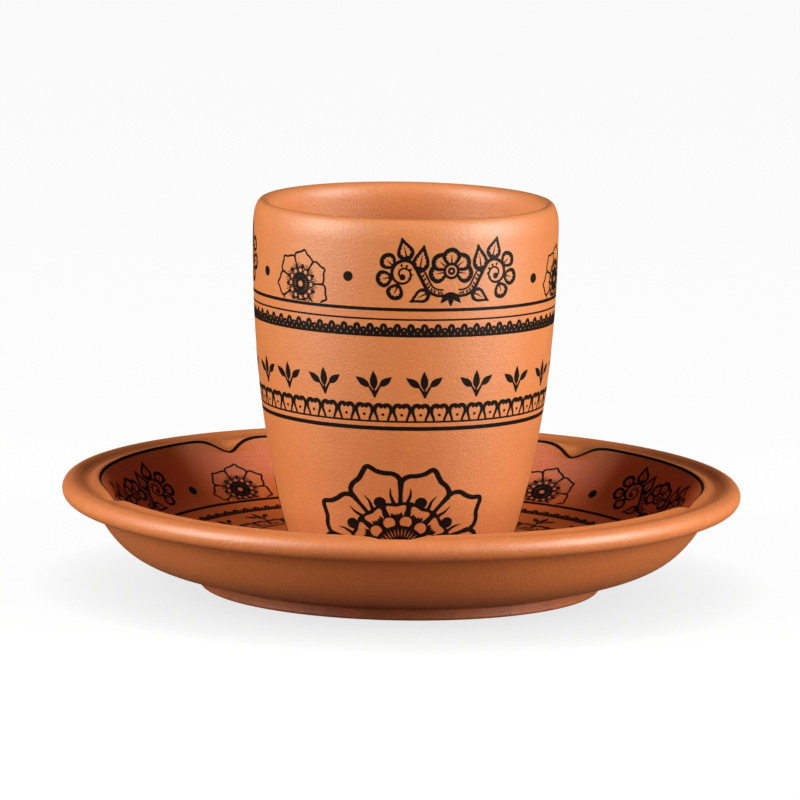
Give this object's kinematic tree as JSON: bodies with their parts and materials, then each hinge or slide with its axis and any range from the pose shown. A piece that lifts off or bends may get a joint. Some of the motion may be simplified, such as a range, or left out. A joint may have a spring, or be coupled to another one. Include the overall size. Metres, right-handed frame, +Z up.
{
  "type": "espresso cup",
  "caption": "Handleless tapered terracotta espresso cup that stands loose in the seat of a deep round saucer with a rolled rim; holds hot drinks.",
  "frame": {"origin": "on the common axis of cup and saucer, at the table under the saucer's foot ring", "axes": "+Z up along the common axis; -Y towards the viewer of the picture, +X to the viewer's right"},
  "size_m": [0.14, 0.14, 0.0801],
  "materials": {
    "cup_terracotta": "unglazed, fine grained, faint satin",
    "saucer_terracotta": "unglazed, fine grained, faint satin",
    "black_print": "fired-on black print, matt"
  },
  "bodies": {
    "saucer": {"saucer": "saucer_terracotta"},
    "cup": {"cup": "cup_terracotta"}
  },
  "joints": [
    {"name": "cup_lift", "type": "slide", "parent": "saucer", "child": "cup", "axis": [0, 0, 1], "range_m": [0, 0.05]}
  ]
}
